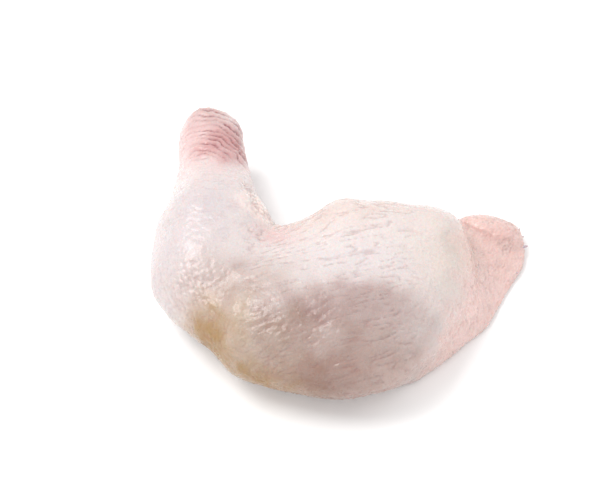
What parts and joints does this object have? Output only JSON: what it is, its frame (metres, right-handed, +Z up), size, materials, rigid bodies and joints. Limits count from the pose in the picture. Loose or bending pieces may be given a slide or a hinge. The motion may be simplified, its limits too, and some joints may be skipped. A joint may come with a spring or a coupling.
{
  "type": "raw chicken leg quarter",
  "caption": "Raw chicken leg quarter lying skin side up: drumstick, bent knee and thigh under one pale skin, with loose skin at the hip and the shank bone in the cut hock.",
  "frame": {"origin": "centre of the bounding box in plan, on the surface that the meat lies on", "axes": "+Z up, away from the surface; +Y along the drumstick from the knee to the hock; +X along the thigh from the knee to the hip"},
  "size_m": [0.1552, 0.141, 0.0411],
  "materials": {
    "skin": "moist raw skin, pale pink and cream",
    "bone": "moist cartilage, pinkish white"
  },
  "bodies": {
    "root": {"leg_quarter": "skin", "shank_bone": "bone"}
  },
  "joints": []
}
